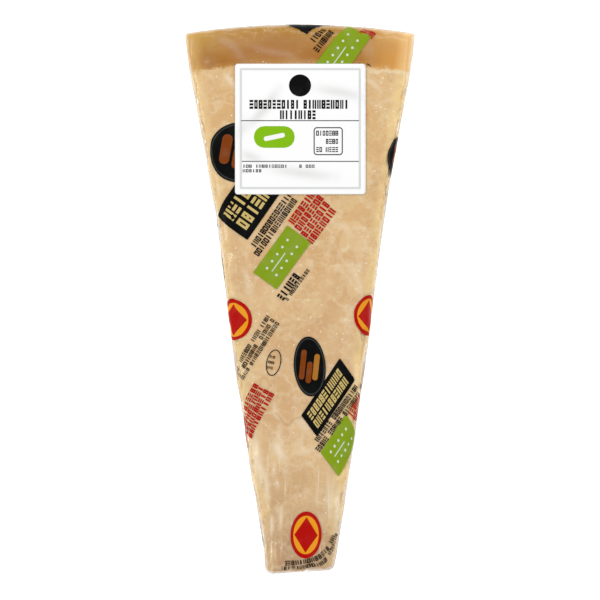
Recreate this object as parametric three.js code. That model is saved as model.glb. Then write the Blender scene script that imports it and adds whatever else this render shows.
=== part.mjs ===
// A wedge of aged hard cheese, shrunk into a tight clear film, with a square paper label on its face.
// Units are millimetres. The wedge lies on its back: +Z is up, out of the labelled face, +Y points
// from the cut tip to the rind, and the origin is under the middle of the wedge, on the table.
import * as THREE from "three";
import { mergeVertices } from "three/addons/utils/BufferGeometryUtils.js";

// Driving dimensions
const LENGTH = 155; // crown of the rind to the cut tip
const THICKNESS = 28;
const WIDTH_AT_MIDDLE = 42.7; // across the wedge, half way along
const TAPER = 0.1516; // how much each side opens per millimetre towards the rind
const WHEEL_RADIUS = 205; // the rind is a piece of the wheel's rim
const SIDE_HOLLOW = 1; // the sides draw in this much on their upper half, deepest at HOLLOW_MIDDLE
const HOLLOW_LOW = -28;
const HOLLOW_MIDDLE = 24;
const HOLLOW_HIGH = 68;
const TIP_SLANT = 0.06; // the tip was cut a little askew
const RIND_CORNER = 1.2;
const TIP_CORNER = 2.4;
const TOP_EDGE = 2.7; // the film rounds the edges, more in some stretches than in others
const TOP_EDGE_SWING = 0.3;
const BACK_EDGE = 1.8;
const RIND_BULGE = 0.9; // the rim of the wheel swells at mid height
const SIDE_BULGE = 0.25;

const LABEL_SIZE = 36.6;
const LABEL_CORNER = 0.8;
const LABEL_THICKNESS = 0.3;
const LABEL_MIDDLE = new THREE.Vector2(0.1, 47.5);
const GLUE_GAP = 0.05;

// The spine is the line that the rings of both faces shrink to.
const SPINE_LOW = -66;
const SPINE_HIGH = 48;

// The sides and the curved ends are sampled this far clear of the rounded corners.
const SIDE_ABOVE_TIP = 6;
const SIDE_BELOW_CROWN = 8;
const RIND_CLEAR = 2.8;
const TIP_CLEAR = 2.6;

// How finely each stretch of the outline and of the section is cut
const SIDE_STEPS = 40;
const RIND_STEPS = 20;
const TIP_STEPS = 6;
const CORNER_STEPS = 5;
const WALL_STEPS = 7;
const TOP_EDGE_STEPS = 5;
const BACK_EDGE_STEPS = 3;
const TOP_FACE_RINGS = 9;
const BACK_FACE_RINGS = 4;

// Flakes that broke away when the wheel was split: shallow scoops, most of them along the edges
const FLAKE_SEED = 23;
const EDGE_FLAKES = 44;
const WALL_FLAKES = 64;
const END_FLAKES = 9;
const EDGE_FLAKE = { reach: [2.2, 5.7], depth: [0.25, 0.95] };
const WALL_FLAKE = { reach: [3.4, 9], depth: [0.2, 0.8] };
const END_FLAKE = { reach: [2.5, 6.5], depth: [0.25, 0.9] };
const EDGE_FLAKE_DROP = 0.3; // their middles lie this far under the face
const ON_SIDE = 0.3; // and every side flake this far inside the side
const FLAKES_ABOVE_TIP = 3;
const FLAKES_BELOW_CROWN = 14; // the rind itself doesn't flake
const WALL_FLAKE_LOW = 4;
const WALL_FLAKE_DROP = 5;
const END_FLAKE_LOW = 5;
const END_FLAKE_DROP = 4;
const FLAKE_FADE = 4; // flakes fade out this far above the back's edge
const LABEL_FADE = 3; // the face is flat under the label, and wanders again this far from it

const FACE_WAVE = 0.18; // the wire's slow wander over the cut face
const LONG_WAVE = { along: 11.3, across: 9.1, skew: 31, share: 0.7 };
const SHORT_WAVE = { along: 6.3, across: 4.7, share: 0.2 };
const EDGE_SWING = { long: 12.7, short: 5.1, share: 0.6, sides: 1.8 };

const half = THICKNESS / 2;
const tipY = -LENGTH / 2;
const same = 1e-3; // points nearer than this are one point
const crownY = LENGTH / 2;

function seededRandom(seed) {
  let state = seed;
  return () => {
    state = (state * 1664525 + 1013904223) % 4294967296;
    return state / 4294967296;
  };
}

function smooth(t) {
  const c = THREE.MathUtils.clamp(t, 0, 1);
  return c * c * (3 - 2 * c);
}

function sideX(y) {
  const rising = smooth((y - HOLLOW_LOW) / (HOLLOW_MIDDLE - HOLLOW_LOW));
  const falling = smooth((HOLLOW_HIGH - y) / (HOLLOW_HIGH - HOLLOW_MIDDLE));
  return WIDTH_AT_MIDDLE / 2 + TAPER * y - SIDE_HOLLOW * rising * falling;
}

function rindY(x) {
  return crownY - WHEEL_RADIUS + Math.sqrt(WHEEL_RADIUS ** 2 - x ** 2);
}

function tipLineY(x) {
  return tipY + TIP_SLANT * (x + sideX(tipY));
}

// The rounded corner between two straight runs, as points from one tangent point to the other.
function roundCorner(before, corner, after, radius) {
  const back = before.clone().sub(corner).normalize();
  const on = after.clone().sub(corner).normalize();
  const turn = Math.acos(back.dot(on));
  const reach = radius / Math.tan(turn / 2);
  const start = corner.clone().addScaledVector(back, reach);
  const end = corner.clone().addScaledVector(on, reach);
  const curve = new THREE.QuadraticBezierCurve(start, corner, end);
  return curve.getPoints(CORNER_STEPS);
}

function sideStep(i) {
  return THREE.MathUtils.lerp(tipY + SIDE_ABOVE_TIP, crownY - SIDE_BELOW_CROWN, i / SIDE_STEPS);
}

// The wedge seen from above, anticlockwise from the right side of the tip.
function outline() {
  const rindX = sideX(rindY(sideX(crownY)));
  const rightTip = new THREE.Vector2(sideX(tipY), tipLineY(sideX(tipY)));
  const leftTip = new THREE.Vector2(-sideX(tipY), tipLineY(-sideX(tipY)));
  const rightRind = new THREE.Vector2(rindX, rindY(rindX));
  const leftRind = new THREE.Vector2(-rindX, rindY(rindX));
  const nearCrown = rindX * 0.8; // a point of the rind's arc, for the direction in which it leaves
  const points = [];

  points.push(...roundCorner(leftTip, rightTip, rightRind, TIP_CORNER));
  for (let i = 0; i <= SIDE_STEPS; i += 1) {
    const y = sideStep(i);
    points.push(new THREE.Vector2(sideX(y), y));
  }
  const onRight = new THREE.Vector2(nearCrown, rindY(nearCrown));
  points.push(...roundCorner(rightTip, rightRind, onRight, RIND_CORNER));
  for (let i = 1; i < RIND_STEPS; i += 1) {
    const x = THREE.MathUtils.lerp(rindX - RIND_CLEAR, RIND_CLEAR - rindX, i / RIND_STEPS);
    points.push(new THREE.Vector2(x, rindY(x)));
  }
  const onLeft = new THREE.Vector2(-nearCrown, rindY(nearCrown));
  points.push(...roundCorner(onLeft, leftRind, leftTip, RIND_CORNER));
  for (let i = SIDE_STEPS; i >= 0; i -= 1) {
    const y = sideStep(i);
    points.push(new THREE.Vector2(-sideX(y), y));
  }
  points.push(...roundCorner(leftRind, leftTip, rightTip, TIP_CORNER));
  for (let i = 1; i < TIP_STEPS; i += 1) {
    const x = THREE.MathUtils.lerp(TIP_CLEAR - sideX(tipY), sideX(tipY) - TIP_CLEAR, i / TIP_STEPS);
    points.push(new THREE.Vector2(x, tipLineY(x)));
  }
  return points;
}

// Each scoop has a middle on the skin, a reach and a depth. The tip's broken end has a few of its own.
function makeFlakes() {
  const random = seededRandom(FLAKE_SEED);
  const between = (low, high) => THREE.MathUtils.lerp(low, high, random());
  const scoop = (x, y, z, kind) => ({
    middle: new THREE.Vector3(x, y, z),
    reach: between(...kind.reach),
    depth: between(...kind.depth),
  });
  const made = [];
  for (let i = 0; i < EDGE_FLAKES + WALL_FLAKES; i += 1) {
    const y = between(tipY + FLAKES_ABOVE_TIP, crownY - FLAKES_BELOW_CROWN);
    const side = random() < 0.5 ? -1 : 1;
    const onEdge = i < EDGE_FLAKES;
    const z = onEdge ? THICKNESS - EDGE_FLAKE_DROP : between(WALL_FLAKE_LOW, THICKNESS - WALL_FLAKE_DROP);
    made.push(scoop(side * (sideX(y) - ON_SIDE), y, z, onEdge ? EDGE_FLAKE : WALL_FLAKE));
  }
  for (let i = 0; i < END_FLAKES; i += 1) {
    const x = between(-0.8, 0.8) * sideX(tipY);
    const z = between(END_FLAKE_LOW, THICKNESS - END_FLAKE_DROP);
    made.push(scoop(x, tipLineY(x), z, END_FLAKE));
  }
  return made;
}

const flakes = makeFlakes();

function underLabel(x, y) {
  const beyond = Math.max(Math.abs(x - LABEL_MIDDLE.x), Math.abs(y - LABEL_MIDDLE.y)) - LABEL_SIZE / 2;
  return 1 - smooth(beyond / LABEL_FADE);
}

// How deep the flakes cut at a point of the skin. The rim of a scoop is crisp, as where a flake let go.
function flakeDepth(x, y, z) {
  const point = new THREE.Vector3(x, y, z);
  let deepest = 0;
  for (const flake of flakes) {
    const away = point.distanceTo(flake.middle) / flake.reach;
    if (away < 1) deepest = Math.max(deepest, flake.depth * (1 - away * away));
  }
  return deepest;
}

function faceWave(x, y) {
  const long = Math.sin(y / LONG_WAVE.along) * Math.cos(x / LONG_WAVE.across - y / LONG_WAVE.skew);
  const short = Math.sin(x / SHORT_WAVE.across + y / SHORT_WAVE.along);
  const most = LONG_WAVE.share + SHORT_WAVE.share;
  return -FACE_WAVE * (most + long * LONG_WAVE.share + short * SHORT_WAVE.share);
}

// The section of the skin at one point of the outline: from the back's spine, round both edges, to the
// face's spine. Each ring lies inset millimetres in from the outline, then a share of the way to the spine.
function section(rim) {
  const towardsRind = smooth((rim.y - (crownY - SIDE_BELOW_CROWN)) / (SIDE_BELOW_CROWN / 2));
  const bulge = THREE.MathUtils.lerp(SIDE_BULGE, RIND_BULGE, towardsRind);
  const start = rim.x > 0 ? EDGE_SWING.sides : 0;
  const long = Math.sin(rim.y / EDGE_SWING.long + start);
  const swing = long + EDGE_SWING.share * Math.sin(rim.y / EDGE_SWING.short + rim.x);
  const round = TOP_EDGE * (1 + TOP_EDGE_SWING * swing);
  const belly = (z) => bulge * ((z - half) / half) ** 2;
  const rings = [];
  for (let k = 0; k < BACK_FACE_RINGS; k += 1) {
    rings.push({ inset: belly(0) + BACK_EDGE, share: 1 - k / BACK_FACE_RINGS, z: 0 });
  }
  for (let k = 0; k <= BACK_EDGE_STEPS; k += 1) {
    const angle = (k / BACK_EDGE_STEPS) * (Math.PI / 2);
    const z = BACK_EDGE * (1 - Math.cos(angle));
    rings.push({ inset: belly(z) + BACK_EDGE * (1 - Math.sin(angle)), share: 0, z });
  }
  for (let k = 1; k < WALL_STEPS; k += 1) {
    const z = THREE.MathUtils.lerp(BACK_EDGE, THICKNESS - round, k / WALL_STEPS);
    rings.push({ inset: belly(z), share: 0, z });
  }
  for (let k = 0; k <= TOP_EDGE_STEPS; k += 1) {
    const angle = (k / TOP_EDGE_STEPS) * (Math.PI / 2);
    const z = THICKNESS - round * (1 - Math.sin(angle));
    rings.push({ inset: belly(z) + round * (1 - Math.cos(angle)), share: 0, z });
  }
  for (let k = 1; k <= TOP_FACE_RINGS; k += 1) {
    rings.push({ inset: belly(THICKNESS) + round, share: k / TOP_FACE_RINGS, z: THICKNESS });
  }
  return rings;
}

function homeOnSpine(point) {
  return new THREE.Vector2(0, THREE.MathUtils.clamp(point.y, SPINE_LOW, SPINE_HIGH));
}

// Where a ring meets the outline's point, before the flakes are taken off
function ringPoint(rim, ring) {
  const home = homeOnSpine(rim);
  const reach = home.distanceTo(rim);
  const inset = THREE.MathUtils.lerp(ring.inset, reach, ring.share);
  const flat = rim.clone().lerp(home, inset / reach);
  return new THREE.Vector3(flat.x, flat.y, ring.z);
}

// Takes the flakes off the wall and the face's edge, and lets the cut face wander a little.
function carved(point) {
  const free = 1 - (point.z > half ? underLabel(point.x, point.y) : 0);
  const bite = free * smooth((point.z - BACK_EDGE) / FLAKE_FADE) * flakeDepth(point.x, point.y, point.z);
  const upright = smooth((point.z - (THICKNESS - TOP_EDGE)) / TOP_EDGE);
  const inwards = homeOnSpine(point).sub(new THREE.Vector2(point.x, point.y));
  if (inwards.length() > same) inwards.normalize();
  const wave = upright * free * faceWave(point.x, point.y);
  return new THREE.Vector3(
    point.x + inwards.x * bite * (1 - upright),
    point.y + inwards.y * bite * (1 - upright),
    point.z - bite * upright + wave,
  );
}

function wedgeGeometry() {
  const rim = outline();
  const ringCount = section(rim[0]).length;
  const positions = [];
  for (const point of rim) {
    for (const ring of section(point)) {
      const placed = carved(ringPoint(point, ring));
      positions.push(placed.x, placed.y, placed.z);
    }
  }
  const indices = [];
  for (let i = 0; i < rim.length; i += 1) {
    const here = i * ringCount;
    const next = ((i + 1) % rim.length) * ringCount;
    for (let k = 0; k < ringCount - 1; k += 1) {
      indices.push(here + k, next + k, next + k + 1);
      indices.push(here + k, next + k + 1, here + k + 1);
    }
  }
  const loose = new THREE.BufferGeometry();
  loose.setAttribute("position", new THREE.Float32BufferAttribute(positions, 3));
  loose.setIndex(indices);
  const merged = mergeVertices(loose, same);
  const kept = [];
  const index = merged.index.array;
  for (let t = 0; t < index.length; t += 3) {
    const [a, b, c] = [index[t], index[t + 1], index[t + 2]];
    if (a !== b && b !== c && c !== a) kept.push(a, b, c);
  }
  merged.setIndex(kept);
  merged.computeVertexNormals();
  return merged;
}

function labelGeometry() {
  const reach = LABEL_SIZE / 2;
  const shape = new THREE.Shape();
  shape.moveTo(reach - LABEL_CORNER, -reach);
  shape.absarc(reach - LABEL_CORNER, LABEL_CORNER - reach, LABEL_CORNER, -Math.PI / 2, 0);
  shape.absarc(reach - LABEL_CORNER, reach - LABEL_CORNER, LABEL_CORNER, 0, Math.PI / 2);
  shape.absarc(LABEL_CORNER - reach, reach - LABEL_CORNER, LABEL_CORNER, Math.PI / 2, Math.PI);
  shape.absarc(LABEL_CORNER - reach, LABEL_CORNER - reach, LABEL_CORNER, Math.PI, Math.PI * 1.5);
  return new THREE.ExtrudeGeometry(shape, {
    depth: LABEL_THICKNESS,
    bevelEnabled: false,
    curveSegments: 6,
  });
}

const part = new THREE.Group();

const wedge = new THREE.Mesh(
  wedgeGeometry(),
  new THREE.MeshStandardMaterial({ color: 0xdcb98a, roughness: 0.35, metalness: 0 }),
);
wedge.name = "wrapped_wedge";
part.add(wedge);

const label = new THREE.Mesh(
  labelGeometry(),
  new THREE.MeshStandardMaterial({ color: 0xfafafa, roughness: 0.45, metalness: 0 }),
);
label.name = "paper_label";
label.position.set(LABEL_MIDDLE.x, LABEL_MIDDLE.y, THICKNESS + GLUE_GAP);
part.add(label);

export default part;
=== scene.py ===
# %% [markdown]
# # A wedge of aged hard cheese in printed clear film
#
# A long wedge, split from a wheel of hard cheese, is sold shrunk into tight clear film. The film has
# inks printed on it, and a square paper label is stuck on the face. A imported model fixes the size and
# the place of everything. This notebook dresses that model from the inside out: the cheese, the film
# that clings to it, the inks on the film, and the label on top.

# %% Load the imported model
import math

import bmesh
import bpy
import numpy as np
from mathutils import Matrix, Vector
from mathutils.bvhtree import BVHTree
from mathutils.geometry import delaunay_2d_cdt


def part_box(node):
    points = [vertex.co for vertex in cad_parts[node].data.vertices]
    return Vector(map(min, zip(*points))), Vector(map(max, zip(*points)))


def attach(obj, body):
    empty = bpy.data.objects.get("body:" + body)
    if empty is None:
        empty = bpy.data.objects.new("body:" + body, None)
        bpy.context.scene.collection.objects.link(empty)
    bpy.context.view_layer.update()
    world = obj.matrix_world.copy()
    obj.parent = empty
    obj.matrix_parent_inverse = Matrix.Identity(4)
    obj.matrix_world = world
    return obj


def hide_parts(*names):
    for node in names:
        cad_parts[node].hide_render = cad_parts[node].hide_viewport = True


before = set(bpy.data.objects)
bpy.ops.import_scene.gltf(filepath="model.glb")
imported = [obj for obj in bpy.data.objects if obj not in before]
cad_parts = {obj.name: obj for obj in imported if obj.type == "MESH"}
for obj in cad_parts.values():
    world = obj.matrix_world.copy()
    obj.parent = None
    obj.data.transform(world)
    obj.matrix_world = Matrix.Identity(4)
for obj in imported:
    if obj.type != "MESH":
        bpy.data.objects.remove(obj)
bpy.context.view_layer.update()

MM = 0.001  # Blender works in metres, and the wedge is described in millimetres

# %% [markdown]
# ## The camera
#
# The picture looks straight at the face of the wedge, as a shop's packshot does. Seen from a metre away
# through a long lens the walls stay hidden behind the face, so the camera hangs that far above it. The
# lens follows from how many millimetres of the face one pixel of the picture shows.

# %% Hang the camera above the face
PIXEL = 0.28  # millimetres of the face across one pixel
IMAGE_PIXELS = 600
MIDDLE_COLUMN = 300.0
MIDDLE_ROW = 298.75  # the row of the picture that shows the middle of the wedge
CAMERA_DISTANCE = 1000.0
SENSOR = 36.0
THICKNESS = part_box("wrapped_wedge")[1].z / MM


def at_pixel(column, row):
    """The place on the face, in millimetres, that the picture shows at a pixel."""
    return np.array([(column - MIDDLE_COLUMN) * PIXEL, (MIDDLE_ROW - row) * PIXEL])


def add_object(name, data):
    """An object that is in the scene, with its data in it."""
    made = bpy.data.objects.new(name, data)
    bpy.context.scene.collection.objects.link(made)
    return made


camera = add_object("camera", bpy.data.cameras.new("camera"))
camera.data.sensor_width = SENSOR
camera.data.lens = SENSOR * CAMERA_DISTANCE / (IMAGE_PIXELS * PIXEL)
picture_middle = at_pixel(IMAGE_PIXELS / 2, IMAGE_PIXELS / 2)
camera.location = (picture_middle[0] * MM, picture_middle[1] * MM, (THICKNESS + CAMERA_DISTANCE) * MM)
bpy.context.scene.camera = camera
print("the lens is", round(camera.data.lens, 1), "mm")

# %% [markdown]
# ## Nodes, written as sums
#
# Materials and Geometry Nodes are both trees of nodes, and long ones are hard to read as lists of links.
# One small class makes them read like arithmetic. It holds one output of a node. Adding or multiplying
# two of them adds a Math node, and its method `node` adds any other kind, with its settings first and
# then the values or links of its inputs.

# %% A wire is one output of a node
class Wire:
    """One output of a node. Arithmetic on wires adds Math nodes, and node() adds any other kind."""

    def __init__(self, tree, socket=None):
        self.tree = tree
        self.socket = socket

    def node(self, kind, settings=None, inputs=None, output=0):
        made = self.tree.nodes.new(kind)
        for name, value in (settings or {}).items():
            if name == "stops":
                self.set_stops(made.color_ramp, value)
            else:
                setattr(made, name, value)
        for name, value in (inputs or {}).items():
            if isinstance(value, Wire):
                self.tree.links.new(value.socket, made.inputs[name])
            else:
                made.inputs[name].default_value = value
        return Wire(self.tree, made.outputs[output] if made.outputs else None)

    @staticmethod
    def set_stops(ramp, stops):
        while len(ramp.elements) < len(stops):
            ramp.elements.new(1.0)
        for element, (place, colour) in zip(ramp.elements, stops):
            element.position = place
            element.color = colour

    def maths(self, operation, *values):
        return self.node("ShaderNodeMath", {"operation": operation}, dict(enumerate(values)))

    def __add__(self, other):
        return self.maths("ADD", self, other)

    def __sub__(self, other):
        return self.maths("SUBTRACT", self, other)

    def __mul__(self, other):
        return self.maths("MULTIPLY", self, other)

    def __truediv__(self, other):
        return self.maths("DIVIDE", self, other)

    def __rsub__(self, other):
        return self.maths("SUBTRACT", other, self)

    def __rtruediv__(self, other):
        return self.maths("DIVIDE", other, self)

    __radd__ = __add__
    __rmul__ = __mul__

    def __abs__(self):
        return self.maths("ABSOLUTE", self)

    def rises(self, low, high):
        """0 below low and 1 above high, with a smooth step between. It falls where low is the larger."""
        limits = {"Value": self, "From Min": low, "From Max": high}
        return self.node("ShaderNodeMapRange", {"interpolation_type": "SMOOTHSTEP"}, limits)

    def blend(self, first, second):
        """The first colour where this wire is 0, the second where it is 1."""
        colours = {0: self, 6: first, 7: second}
        return self.node("ShaderNodeMix", {"data_type": "RGBA"}, colours, output=2)

    def mixed(self, first, second):
        """The first shader where this wire is 0, the second where it is 1."""
        return self.node("ShaderNodeMixShader", None, {0: self, 1: first, 2: second})

    def parts(self):
        """The three numbers of a vector, as wires."""
        split = self.node("ShaderNodeSeparateXYZ", None, {0: self})
        return [Wire(self.tree, out) for out in split.socket.node.outputs]

    def times(self, factors):
        """This vector with each of its numbers multiplied."""
        return self.node("ShaderNodeVectorMath", {"operation": "MULTIPLY"}, {0: self, 1: factors})

    def scaled(self, factor):
        """This vector, as many times as long."""
        return self.node("ShaderNodeVectorMath", {"operation": "SCALE"}, {0: self, "Scale": factor})

    def plus(self, step):
        """This vector and another one added up."""
        return self.node("ShaderNodeVectorMath", {"operation": "ADD"}, {0: self, 1: step})

    def vector(self, x=0.0, y=0.0, z=0.0):
        """A vector of three numbers or wires."""
        return self.node("ShaderNodeCombineXYZ", None, {0: x, 1: y, 2: z})

    def root(self):
        return self.maths("SQRT", self)

    def whole(self):
        return self.maths("FLOOR", self)

    def noise(self, size, detail=2.0, shift=0.0, stretch=(1.0, 1.0, 1.0)):
        """Soft noise whose patches are about size across. A stretch over 1 draws them out that way."""
        squeezed = self.times(tuple(1 / (size * share) for share in stretch))
        inputs = {"Vector": squeezed.plus((shift,) * 3), "Scale": 1.0, "Detail": detail, "Roughness": 0.5}
        return self.node("ShaderNodeTexNoise", None, inputs)

    def bent(self, scale, detail, reach):
        """This place pushed about by soft noise, so that cells laid on it lose their straight edges."""
        inputs = {"Vector": self, "Scale": scale, "Detail": detail}
        push = self.node("ShaderNodeTexNoise", None, inputs, output="Color")
        return self.plus(push.times((reach,) * 3))

    def cells(self, size, output=0):
        """Cells about size across: how far each place lies from its cell's middle, or the cell's colour."""
        inputs = {"Vector": self, "Scale": 1.0 / size, "Randomness": 1.0}
        return self.node("ShaderNodeTexVoronoi", None, inputs, output=output)

    def attribute(self, name):
        """A number that the mesh carries on its points."""
        return self.node("ShaderNodeAttribute", {"attribute_name": name}, output="Fac")

    def draw(self, low, high, seed):
        """A random number for each point, between two limits."""
        limits = {2: low, 3: high, 8: seed}
        return self.node("FunctionNodeRandomValue", {"data_type": "FLOAT"}, limits, output=1)


def paint(hex_colour):
    """A colour as written on screens, turned into the linear light that Blender counts in."""
    shares = [int(hex_colour[i:i + 2], 16) / 255 for i in (1, 3, 5)]
    linear = [s / 12.92 if s <= 0.04045 else ((s + 0.055) / 1.055) ** 2.4 for s in shares]
    return (*linear, 1.0)


def painted(base, layers):
    """A colour with layers painted over it. Each layer is a wire for how much it covers, and its colour."""
    for share, tone in layers:
        base = share.blend(base, paint(tone))
    return base


# %% [markdown]
# ## Floor and light
#
# A packshot is lit softly from all round, on a white table that glows a little, so that hardly any shadow
# is left. Glossy film mirrors what hangs over it, so no lamp hangs over the face. Four large soft boxes
# stand round the wedge instead, low enough that only its rounded edges and its wrinkles catch them.

# %% Make the floor, the soft boxes and the sky
FLOOR_SIDE = 3000.0
FLOOR_GLOW = 0.5
SKY_LIGHT = 0.42
BOX_SIDE = 520.0
BOX_DISTANCE = 1000.0
SOFT_BOXES = {  # azimuth, elevation and watts
    "left_box": (165.0, 42.0, 3.5),
    "right_box": (15.0, 38.0, 2.2),
    "far_box": (80.0, 46.0, 2.0),
    "near_box": (250.0, 44.0, 1.3),
}


def new_finish(name):
    """An empty material, and a wire to write its nodes on."""
    material = bpy.data.materials.new(name)
    material.use_nodes = True
    material.node_tree.nodes.clear()
    return material, Wire(material.node_tree)


def show(shader):
    """Ends a material's tree in this shader."""
    shader.node("ShaderNodeOutputMaterial", None, {"Surface": shader})


def principled(start, **sockets):
    """The Principled shader, with its inputs named with underscores for spaces."""
    inputs = {name.replace("_", " "): value for name, value in sockets.items()}
    return start.node("ShaderNodeBsdfPrincipled", None, inputs)


floor_white, start = new_finish("floor_white")
show(principled(start, Base_Color=paint("#fbfbfb"), Roughness=0.8, Specular_IOR_Level=0.1,
                Emission_Color=paint("#ffffff"), Emission_Strength=FLOOR_GLOW))
half_floor = FLOOR_SIDE / 2 * MM
floor_mesh = bpy.data.meshes.new("floor")
corners = [(half_floor * sx, half_floor * sy, 0) for sx, sy in ((-1, -1), (1, -1), (1, 1), (-1, 1))]
floor_mesh.from_pydata(corners, [], [(0, 1, 2, 3)])
floor_mesh.materials.append(floor_white)
add_object("floor", floor_mesh)

for name, (azimuth, elevation, watts) in SOFT_BOXES.items():
    lamp = add_object(name, bpy.data.lights.new(name, "AREA"))
    lamp.data.energy = watts
    lamp.data.size = BOX_SIDE * MM
    a, e = math.radians(azimuth), math.radians(elevation)
    towards = Vector((math.cos(a) * math.cos(e), math.sin(a) * math.cos(e), math.sin(e)))
    lamp.location = towards * BOX_DISTANCE * MM
    lamp.rotation_euler = towards.to_track_quat("Z", "Y").to_euler()

sky = bpy.data.worlds.new("sky")
sky.use_nodes = True
glow = sky.node_tree.nodes["Background"].inputs
glow["Strength"].default_value = SKY_LIGHT
glow["Color"].default_value = (1.0, 1.0, 1.0, 1.0)
bpy.context.scene.world = sky
bpy.context.scene.view_settings.view_transform = "Standard"
print(len(SOFT_BOXES), "soft boxes stand", BOX_DISTANCE / 1000, "m away")

# %% [markdown]
# ## The form of the wedge
#
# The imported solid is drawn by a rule, and the same rule with finer steps gives the cheese and the film.
# Seen from above the wedge has two sides that draw in a little, an arc of the wheel's rim and a short cut
# tip. Round that outline runs a section: the back, its edge, the wall, the rounded top edge and the face.
# Shallow scoops are left where flakes broke away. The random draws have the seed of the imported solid, so
# each scoop lies where it does there.

# %% Name the sizes of the wedge
LENGTH = 155.0
WIDTH_AT_MIDDLE = 42.7
TAPER = 0.1516
WHEEL_RADIUS = 205.0
SIDE_HOLLOW = 1.0
HOLLOW_LOW, HOLLOW_MIDDLE, HOLLOW_HIGH = -28.0, 24.0, 68.0
TIP_SLANT = 0.06
RIND_CORNER = 1.2
TIP_CORNER = 2.4
TOP_EDGE = 2.7
TOP_EDGE_SWING = 0.3
BACK_EDGE = 1.8
RIND_BULGE = 0.9
SIDE_BULGE = 0.25
SPINE_LOW, SPINE_HIGH = -66.0, 48.0
SIDE_ABOVE_TIP, SIDE_BELOW_CROWN = 6.0, 8.0
RIND_CLEAR, TIP_CLEAR = 2.8, 2.6

label_low, label_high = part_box("paper_label")
LABEL_MIDDLE = np.array([(label_low.x + label_high.x) / 2, (label_low.y + label_high.y) / 2]) / MM
LABEL_SIZE = (label_high.x - label_low.x) / MM

HALF = THICKNESS / 2
TIP_Y, CROWN_Y = -LENGTH / 2, LENGTH / 2


def smooth(t):
    c = np.clip(t, 0.0, 1.0)
    return c * c * (3 - 2 * c)


def side_x(y):
    rising = smooth((y - HOLLOW_LOW) / (HOLLOW_MIDDLE - HOLLOW_LOW))
    falling = smooth((HOLLOW_HIGH - y) / (HOLLOW_HIGH - HOLLOW_MIDDLE))
    return WIDTH_AT_MIDDLE / 2 + TAPER * y - SIDE_HOLLOW * rising * falling


def rind_y(x):
    return CROWN_Y - WHEEL_RADIUS + np.sqrt(WHEEL_RADIUS ** 2 - np.square(x))


def tip_line_y(x):
    return TIP_Y + TIP_SLANT * (x + side_x(TIP_Y))


widths = [round(2 * side_x(y), 1) for y in (CROWN_Y, TIP_Y)]
print("the wedge is", widths[0], "mm wide at the rind and", widths[1], "at the tip")

# %% Draw the outline seen from above
CORNER_STEPS = 7
NEAR_CROWN = 0.8  # share of the way out to the corner, where the arc's direction is taken


def round_corner(before, corner, after, radius):
    """A rounded corner between two straight runs, as points from one tangent point to the other."""
    back = (before - corner) / np.linalg.norm(before - corner)
    on = (after - corner) / np.linalg.norm(after - corner)
    reach = radius / math.tan(math.acos(float(back @ on)) / 2)
    t = np.linspace(0, 1, CORNER_STEPS + 1)[:, None]
    return (1 - t) ** 2 * (corner + back * reach) + 2 * t * (1 - t) * corner + t ** 2 * (corner + on * reach)


def wedge_outline(step):
    """Anticlockwise from the right side of the tip, with a point about every step millimetres."""
    rind_x = side_x(rind_y(side_x(CROWN_Y)))
    half_tip = side_x(TIP_Y)
    left_tip, right_tip = [np.array([x, tip_line_y(x)]) for x in (-half_tip, half_tip)]
    left_rind, right_rind = [np.array([x, rind_y(x)]) for x in (-rind_x, rind_x)]
    left_arc, right_arc = [np.array([x, rind_y(x)]) for x in (-rind_x * NEAR_CROWN, rind_x * NEAR_CROWN)]
    side = np.linspace(TIP_Y + SIDE_ABOVE_TIP, CROWN_Y - SIDE_BELOW_CROWN, round(LENGTH / step))
    rind = np.linspace(rind_x - RIND_CLEAR, RIND_CLEAR - rind_x, round(2 * rind_x / step))[1:-1]
    tip = np.linspace(TIP_CLEAR - half_tip, half_tip - TIP_CLEAR, round(2 * half_tip / step))[1:-1]
    return np.vstack([
        round_corner(left_tip, right_tip, right_rind, TIP_CORNER),
        np.column_stack([side_x(side), side]),
        round_corner(right_tip, right_rind, right_arc, RIND_CORNER),
        np.column_stack([rind, rind_y(rind)]),
        round_corner(left_arc, left_rind, left_tip, RIND_CORNER),
        np.column_stack([-side_x(side[::-1]), side[::-1]]),
        round_corner(left_rind, left_tip, right_tip, TIP_CORNER),
        np.column_stack([tip, tip_line_y(tip)]),
    ])


print("the outline has", len(wedge_outline(1.0)), "points at a step of 1 mm")

# %% Scatter the scoops that flakes left
FLAKE_SEED = 23
EDGE_FLAKES, WALL_FLAKES, END_FLAKES = 44, 64, 9
EDGE_FLAKE = {"reach": (2.2, 5.7), "depth": (0.25, 0.95)}
WALL_FLAKE = {"reach": (3.4, 9.0), "depth": (0.2, 0.8)}
END_FLAKE = {"reach": (2.5, 6.5), "depth": (0.25, 0.9)}
EDGE_FLAKE_DROP, ON_SIDE = 0.3, 0.3
FLAKES_ABOVE_TIP, FLAKES_BELOW_CROWN = 3.0, 14.0
WALL_FLAKE_LOW, WALL_FLAKE_DROP = 4.0, 5.0
END_FLAKE_LOW, END_FLAKE_DROP = 5.0, 4.0
END_SPREAD = 0.8  # share of the tip's half width
FLAKE_FADE, LABEL_FADE = 4.0, 3.0


def seeded_random(seed):
    """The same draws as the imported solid's, one after the other."""
    state = seed
    while True:
        state = (state * 1664525 + 1013904223) % 4294967296
        yield state / 4294967296


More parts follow.
